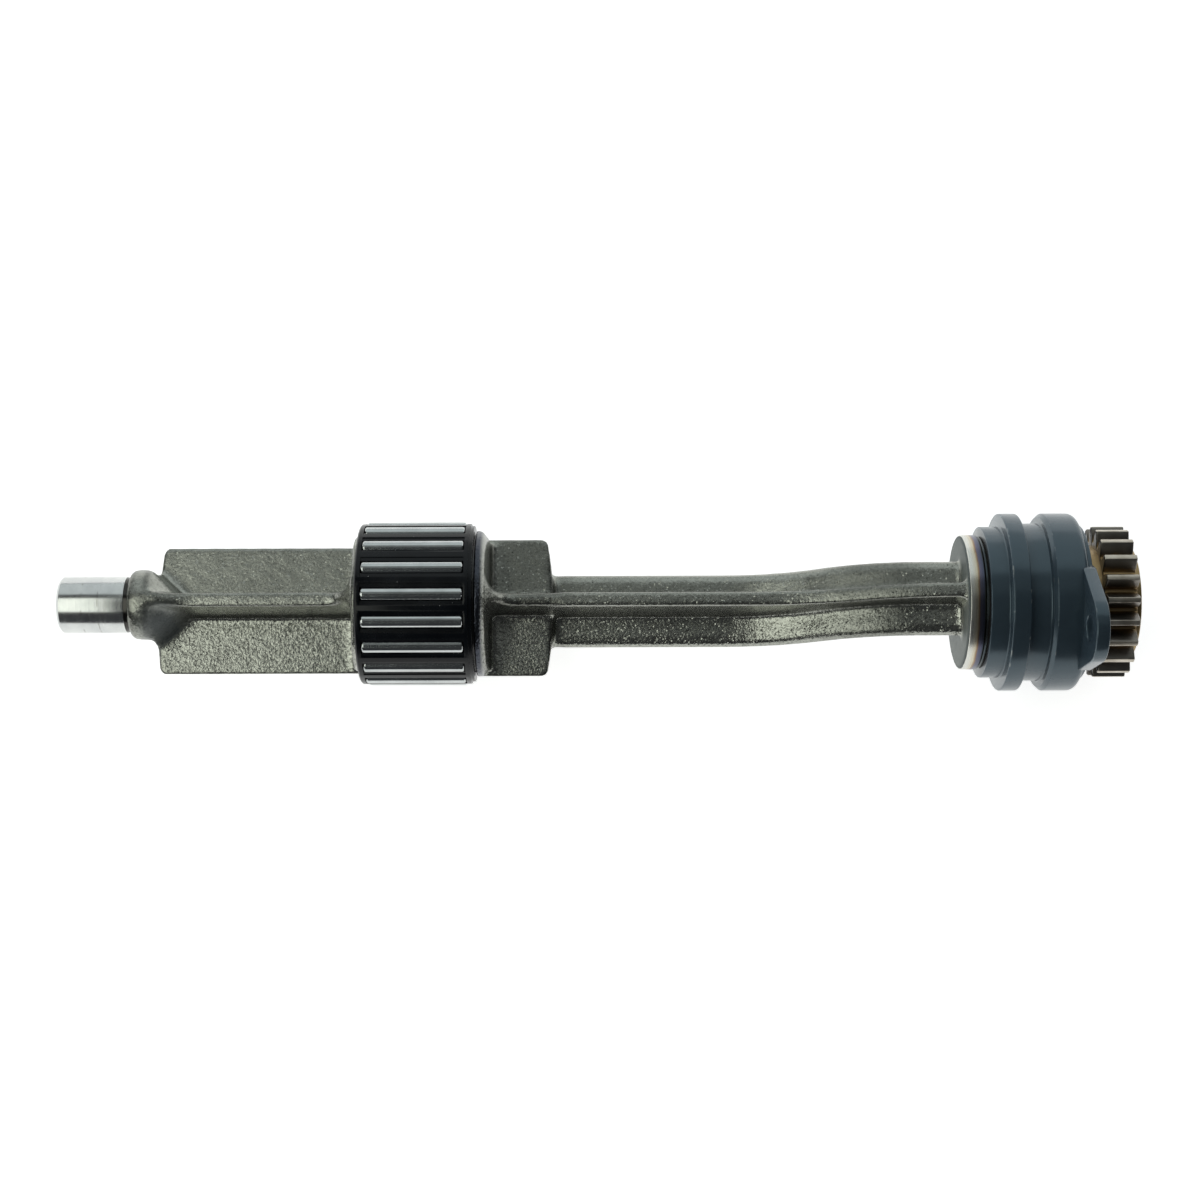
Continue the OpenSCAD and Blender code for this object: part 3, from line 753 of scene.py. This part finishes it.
def cut_stretch(name, x0, x1):
    """Closed mesh of the CAD shaft between two stations."""
    bm = bmesh.new()
    bm.from_mesh(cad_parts["balance_shaft"].data)
    bmesh.ops.remove_doubles(bm, verts=bm.verts, dist=1e-6)
    for x, side in ((x0, -1), (x1, 1)):
        geometry = bm.verts[:] + bm.edges[:] + bm.faces[:]
        cut = bmesh.ops.bisect_plane(
            bm, geom=geometry, plane_co=(x * MM, 0, 0), plane_no=(side, 0, 0), clear_outer=True, dist=1e-7
        )
        edges = [e for e in cut["geom_cut"] if isinstance(e, bmesh.types.BMEdge)]
        bmesh.ops.contextual_create(bm, geom=edges)
    bmesh.ops.triangulate(bm, faces=bm.faces)
    bmesh.ops.recalc_face_normals(bm, faces=bm.faces)
    mesh = bpy.data.meshes.new(name)
    bm.to_mesh(mesh)
    bm.free()
    return mesh


def forging(name, x0, x1, soft, material):
    """Forged stretch of the shaft between two stations, with rounded edges and a slightly wavy skin."""
    mesh = cut_stretch(name, x0, x1)
    obj = bpy.data.objects.new(name, mesh)
    bpy.context.scene.collection.objects.link(obj)
    remesh = obj.modifiers.new("voxels", "REMESH")
    remesh.mode = "VOXEL"
    remesh.voxel_size = VOXEL * MM
    graph = bpy.context.evaluated_depsgraph_get()
    skin = bpy.data.meshes.new_from_object(obj.evaluated_get(graph))
    obj.modifiers.clear()
    obj.data = skin
    bpy.data.meshes.remove(mesh)
    smooth_skin(skin, soft)
    skin.materials.clear()
    skin.materials.append(material)
    skin.shade_smooth()
    return obj


def smooth_skin(mesh, soft):
    """Rounds the edges, more in the soft stretches, keeps how far each edge was rounded, which the skin
    paints darker as shade, and adds long low waves.
    """
    sharp = vertex_rows(mesh, "co")
    points = relaxed(mesh, sharp, softness(sharp, soft))
    move_vertices(mesh, points)
    normals = vertex_rows(mesh, "normal")
    # How far each point moved in: the rounded edges that the skin paints darker as shade
    worn_and_shaded = np.einsum("ij,ij->i", sharp - points, normals) / (EDGE_DEPTH * MM)
    store_edge_wear_and_shade(mesh, np.clip(worn_and_shaded, 0.0, 1.0))
    move_vertices(mesh, points + normals * (waves(points) * WAVE_HEIGHT * MM)[:, None])


def vertex_rows(mesh, name):
    """Array with three values of each vertex, such as its place or normal."""
    values = np.zeros(len(mesh.vertices) * 3)
    mesh.vertices.foreach_get(name, values)
    return values.reshape(-1, 3)


def move_vertices(mesh, points):
    """Moves the vertices to new points."""
    mesh.vertices.foreach_set("co", points.ravel())
    mesh.update()


def softness(points, soft):
    """Share of the extra smoothing at each point: 1 well inside a soft stretch and 0 outside."""
    along = points[:, 0] / MM
    across = np.abs(points[:, 1]) / MM
    share = np.zeros(len(points))
    for start, end in soft:
        depth = np.minimum(np.minimum(along - start, end - along), SOFT_HALF_W - across)
        share = np.maximum(share, np.clip(depth / SOFT_FADE, 0.0, 1.0))
    return share


def relaxed(mesh, points, share):
    """Points moved towards the mean of their neighbours, with extra passes by their share."""
    edges = np.zeros(len(mesh.edges) * 2, dtype=np.int64)
    mesh.edges.foreach_get("vertices", edges)
    a, b = edges.reshape(-1, 2).T
    count = len(points)
    degree = np.bincount(a, minlength=count) + np.bincount(b, minlength=count)
    degree = np.maximum(degree, 1)[:, None]
    points = points.copy()
    for i in range(SMOOTH_PASSES + SOFT_PASSES):
        total = np.zeros_like(points)
        np.add.at(total, a, points[b])
        np.add.at(total, b, points[a])
        step = SMOOTH_STEP if i < SMOOTH_PASSES else SMOOTH_STEP * share[:, None]
        points += step * (total / degree - points)
    return points


def waves(points):
    """Height from -1 to 1 of long waves that wander along and across the shaft."""
    k = 2 * math.pi / (WAVE_LENGTH * MM)
    x, y, z = points.T
    along = np.sin(k * x + 2.1 * np.sin(0.61 * k * y))
    across = np.sin(0.83 * k * y + 1.7 * np.sin(0.47 * k * z + 0.4))
    return along * across


def shaft_pieces():
    """Forged stretches and ground surfaces of the one-piece shaft."""
    skin = forged_steel()
    bright = ((0.50, 0.51, 0.51), (0.60, 0.61, 0.60))
    ground = ground_steel("ground_steel", *bright)
    pin = ground_steel("ground_pin_steel", *bright, marks=SCORE_LINES, dark_past=X_BOSS - RELIEF_W)
    oiled = ground_steel("oiled_steel", (0.05, 0.05, 0.05), (0.09, 0.09, 0.09))
    pieces = [
        forging("forging_rear", X_BOSS, X_RACE_LEFT + 2 * OVERLAP, SOFT_REAR, skin),
        forging("forging_front", X_RACE_RIGHT, X_COLLAR_LEFT + OVERLAP, SOFT_FRONT, skin),
        lathe(
            "ground_pin",
            [
                (X_PIN + CENTRE_DEPTH, 0, 0),
                (X_PIN, CENTRE_R, CENTRE_EDGE),
                (X_PIN, PIN_R - PIN_CHAMFER, PIN_EDGE),
                (X_PIN + PIN_CHAMFER, PIN_R, PIN_EDGE),
                (X_BOSS - RELIEF_W, PIN_R, RELIEF_EDGE),
                (X_BOSS - RELIEF_W, PIN_R - RELIEF_DEPTH, 0),
                (X_BOSS + OVERLAP, PIN_R - RELIEF_DEPTH, 0),
                (X_BOSS + OVERLAP, 0, 0),
            ],
            pin,
        ),
        lathe(
            "ground_raceway",
            [
                (X_RACE_LEFT + OVERLAP, 0, 0),
                (X_RACE_LEFT + OVERLAP, RACE_R, 0),
                (X_RACE_RIGHT + OVERLAP, RACE_R, 0),
                (X_RACE_RIGHT + OVERLAP, 0, 0),
            ],
            oiled,
        ),
        lathe(
            "ground_collar",
            [
                (X_COLLAR_LEFT + COLLAR_INSET, 0, 0),
                (X_COLLAR_LEFT + COLLAR_INSET, COLLAR_R - COLLAR_INSET, 0),
                (X_COLLAR_LEFT + 1.5 * COLLAR_INSET, COLLAR_R, COLLAR_LEFT_EDGE),
                (X_COLLAR_RIGHT, COLLAR_R, COLLAR_RIGHT_EDGE),
                (X_COLLAR_RIGHT, 0, 0),
            ],
            collar_steel(),
        ),
        lathe(
            "front_journal",
            [
                (X_COLLAR_RIGHT - OVERLAP, 0, 0),
                (X_COLLAR_RIGHT - OVERLAP, JOURNAL_R, 0),
                (X_HUB, JOURNAL_R, JOURNAL_EDGE),
                (X_HUB, NOSE_R, 0),
                (X_NOSE, NOSE_R, NOSE_EDGE),
                (X_NOSE, CENTRE_R, CENTRE_EDGE),
                (X_NOSE - CENTRE_DEPTH, 0, 0),
            ],
            ground,
        ),
    ]
    for piece in pieces:
        attach(piece, "shaft", "balance_shaft")


def ear_outline():
    """Clockwise outline of the housing's ear, upright: straight sides from a wide foot to a round tip."""
    foot = EAR_FOOT_W / 2
    corner = Vector((foot, math.sqrt(FLANGE_R**2 - foot**2) + EAR_FOOT_RISE))
    tip = Vector((0, EAR_REACH))
    away = (corner - tip).length
    touch = math.atan2(corner.y - tip.y, corner.x) + math.acos(EAR_TIP_R / away)
    span = math.pi - 2 * touch
    arc = [math.pi / 2 + span / 2 - span * k / TIP_STEPS for k in range(TIP_STEPS + 1)]
    sides = [(-foot, EAR_ROOT_R, 0), (-corner.x, corner.y, EAR_FOOT_FILLET)]
    sides += [(EAR_TIP_R * math.cos(a), EAR_REACH + EAR_TIP_R * math.sin(a), 0) for a in arc]
    sides += [(corner.x, corner.y, EAR_FOOT_FILLET), (foot, EAR_ROOT_R, 0)]
    return [(y, z) for y, z, _ in rounded(sides, closed=True)]


def housing_pieces():
    """Turned body of the housing and its bolting ear."""
    coat = coated_housing()
    round_l, round_h = FLANGE_ROUND
    quarter = [math.pi / 2 * k / SHOULDER_STEPS for k in range(SHOULDER_STEPS + 1)]
    shoulder = [(round_l * math.sin(a), FLANGE_R - round_h * (1 - math.cos(a)), 0) for a in quarter]
    body = lathe(
        "housing_body",
        [
            (X_COLLAR_RIGHT + HOUSING_GAP, BUSH_R, 0),
            (X_COLLAR_RIGHT + HOUSING_GAP, LIP_R, LIP_EDGE),
            (X_LIP, LIP_R, LIP_FOOT_EDGE),
            (X_SHANK, SHANK_R, SHANK_EDGE),
            (X_FLANGE, SHANK_R, CORNER_FILLET),
            (X_FLANGE, FLANGE_R, FLANGE_EDGE),
            (X_GROOVE, FLANGE_R, FLANGE_EDGE),
            (X_GROOVE, GROOVE_R, CORNER_FILLET),
            (X_EAR_FLANGE, GROOVE_R, CORNER_FILLET),
            (X_EAR_FLANGE, FLANGE_R - FLANGE_CHAMFER, CHAMFER_LOW_EDGE),
            (X_EAR_FLANGE + FLANGE_CHAMFER, FLANGE_R, CHAMFER_TOP_EDGE),
            *shoulder,
            (round_l, FACE_R, FACE_FILLET),
            (X_EAR - EAR_RISE, FACE_R, FACE_EDGE),
            (X_EAR - EAR_RISE, BUSH_R, 0),
        ],
        coat,
        segments=HOUSING_POINTS,
        smooth_angle=40.0,
    )
    hole = circle(EAR_HOLE_R, HOLE_POINTS, EAR_REACH)
    ear = plate("housing_ear", ear_outline(), hole, 0.0, X_EAR, EAR_EDGE, coat, turn=EAR_ANGLE)
    for piece in (body, ear):
        attach(piece, "housing", "bearing_housing")


def tooth_ring_outline():
    """Clockwise outline of the toothed ring, seen along +X."""
    fillets = {0: TOOTH_ROOT_FILLET, FLANK_STEPS: TOOTH_TIP_FILLET}
    flank = []
    for k in range(FLANK_STEPS + 1):
        share = k / FLANK_STEPS
        depth = TOOTH_H * (1 - share)
        half = LAND_W / 2 + depth * math.tan(math.radians(FLANK_ANGLE))
        half += FLANK_BULGE * math.sin(math.pi * share)
        flank.append((half, GEAR_R - depth, fillets.get(k, 0)))
    tooth = [(-y, z, fillet) for y, z, fillet in flank] + flank[::-1]
    points = []
    for i in range(TEETH):
        turn = math.radians(TOOTH_PHASE - 360.0 * i / TEETH)
        points += [(*spun(y, z, turn), fillet) for y, z, fillet in tooth]
    return [(y, z) for y, z, _ in rounded(points, closed=True, steps=2)]


def gear_pieces():
    """Toothed ring and hub of the drive gear."""
    steel = gear_steel()
    bore = circle(NOSE_R, BORE_POINTS)
    ring = plate("tooth_ring", tooth_ring_outline(), bore, X_TEETH_LEFT, X_TEETH_RIGHT, TOOTH_EDGE, steel)
    hub = lathe(
        "gear_hub",
        [
            (X_HUB, NOSE_R, 0),
            (X_HUB, HUB_R, HUB_EDGE),
            (X_GEAR, HUB_R, HUB_EDGE),
            (X_GEAR, NOSE_R, 0),
        ],
        steel,
    )
    for piece in (ring, hub):
        attach(piece, "shaft", "drive_gear")


def dress_node(name, material):
    """Gives a CAD node its finish."""
    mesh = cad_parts[name].data
    mesh.materials.clear()
    mesh.materials.append(material)


def round_edges(name):
    """Small rounding along a CAD node's edges."""
    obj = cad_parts[name]
    weld = obj.modifiers.new("weld", "WELD")
    weld.merge_threshold = CAGE_WELD * MM
    bevel = obj.modifiers.new("edges", "BEVEL")
    bevel.width = CAGE_EDGE * MM
    bevel.segments = 2
    bevel.limit_method = "ANGLE"
    bevel.angle_limit = math.radians(CAGE_EDGE_ANGLE)
    bevel.harden_normals = False


def bearing_pieces():
    """Finishes of the bush, the needle cage and its rollers."""
    dress_node("bearing_bush", bush_metal())
    dress_node("needle_cage", cage_plastic())
    round_edges("needle_cage")
    steel = ground_steel("roller_steel", (0.42, 0.44, 0.44), (0.52, 0.54, 0.54), rough=(0.09, 0.16))
    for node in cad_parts:
        if node.startswith("roller_"):
            dress_node(node, steel)


def stage_piece(name, points, faces, ground, material):
    """Piece of the studio, on the ground."""
    mesh = bpy.data.meshes.new(name)
    mesh.from_pydata(points, [], faces)
    mesh.materials.append(material)
    obj = bpy.data.objects.new(name, mesh)
    obj.location.z = ground
    bpy.context.scene.collection.objects.link(obj)
    obj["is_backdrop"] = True
    return obj


def pale_floor(ground):
    """Pale floor with some light of its own, full white far from the object."""
    m = Nodes("pale_floor")
    away = m.vector("DISTANCE", m.place, (0.0, 0.0, 0.0))
    m.shader(
        Base_Color=(0.9, 0.9, 0.9, 1.0),
        Roughness=0.9,
        Emission_Color=(1.0, 1.0, 1.0, 1.0),
        Emission_Strength=m.ramp(away, FLOOR_GLOW),
    )
    half = FLOOR_HALF
    corners = [(-half, -half, 0), (half, -half, 0), (half, half, 0), (-half, half, 0)]
    stage_piece("floor", corners, [(0, 1, 2, 3)], ground, m.material)


def backdrop(ground):
    """Pale wall round the floor, which only the camera sees."""
    m = Nodes("pale_wall")
    m.shader(Base_Color=(0.0, 0.0, 0.0, 1.0), Emission_Color=(1.0, 1.0, 1.0, 1.0), Emission_Strength=1.0)
    turns = [2 * math.pi * k / WALL_SIDES for k in range(WALL_SIDES)]
    ring = [(FLOOR_HALF * math.cos(a), FLOOR_HALF * math.sin(a)) for a in turns]
    points = [(x, y, z) for z in (0.0, WALL_HEIGHT) for x, y in ring]
    faces = []
    for k in range(WALL_SIDES):
        n = (k + 1) % WALL_SIDES
        faces.append((k, n, WALL_SIDES + n, WALL_SIDES + k))
    wall = stage_piece("backdrop", points, faces, ground, m.material)
    wall.visible_diffuse = False
    wall.visible_glossy = False
    wall.visible_transmission = False
    wall.visible_shadow = False


def soft_light(name, place, target, size, radiance, colour):
    """Rectangular panel of a given radiance, its width along X, facing a point."""
    data = bpy.data.lights.new(name, "AREA")
    data.shape = "RECTANGLE"
    data.size, data.size_y = size
    data.energy = radiance * math.pi * size[0] * size[1]
    data.color = colour
    light = bpy.data.objects.new(name, data)
    bpy.context.scene.collection.objects.link(light)
    out = (Vector(place) - Vector(target)).normalized()
    across = out.cross(Vector((1, 0, 0))).normalized()
    axes = Matrix((across.cross(out), across, out)).transposed().to_4x4()
    light.matrix_world = Matrix.Translation(Vector(place)) @ axes


def lights():
    """Faint sky and three soft panels: left and overhead, right and overhead, and behind."""
    world = bpy.data.worlds.new("studio")
    world.use_nodes = True
    sky = world.node_tree.nodes["Background"]
    sky.inputs["Color"].default_value = (0.9, 0.95, 1.0, 1.0)
    sky.inputs["Strength"].default_value = 0.06
    bpy.context.scene.world = world
    soft_light(
        "key_panel",
        place=(-1.24, -0.245, 0.9),
        target=(-1.24, -0.245, 0.0),
        size=(1.72, 1.01),
        radiance=1.62,
        colour=(0.96, 1.0, 0.90),
    )
    soft_light(
        "overhead_panel",
        place=(0.07, 0.305, 0.9),
        target=(0.07, 0.305, 0.0),
        size=(0.90, 0.55),
        radiance=0.165,
        colour=(0.93, 1.0, 0.96),
    )
    soft_light(
        "back_panel",
        place=(-0.13, 0.822, 0.4745),
        target=(-0.13, 0.0, 0.0),
        size=(2.4, 1.01),
        radiance=0.76,
        colour=(0.92, 1.0, 1.0),
    )


def photo_camera():
    """Camera where the photograph was taken from."""
    scene = bpy.context.scene
    data = bpy.data.cameras.new("camera")
    data.sensor_width = SENSOR_MM
    data.lens = SENSOR_MM * CAMERA_DISTANCE / (FRAME_PX * MM_PER_PX)
    data.clip_start = CAMERA_NEAR * MM
    camera = bpy.data.objects.new("camera", data)
    scene.collection.objects.link(camera)
    lean = math.radians(CAMERA_ELEVATION)
    roll = math.radians(CAMERA_ROLL)
    back = Vector((0, -math.cos(lean), math.sin(lean)))
    up = Vector((0, math.sin(lean), math.cos(lean)))
    right = Vector((1, 0, 0))
    target = Vector((CENTRE_X * MM, 0, 0))
    place = target + up * AXIS_BELOW_CENTRE * MM + back * CAMERA_DISTANCE * MM
    rolled_up = up * math.cos(roll) + right * math.sin(roll)
    rolled_right = right * math.cos(roll) - up * math.sin(roll)
    axes = Matrix((rolled_right, rolled_up, back)).transposed().to_4x4()
    camera.matrix_world = Matrix.Translation(place) @ axes
    scene.camera = camera
    scene.view_settings.view_transform = "Standard"


def studio():
    """Floor, wall, lights and camera."""
    low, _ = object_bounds()
    pale_floor(low.z)
    backdrop(low.z)
    lights()
    photo_camera()


shaft_pieces()
housing_pieces()
gear_pieces()
bearing_pieces()
studio()
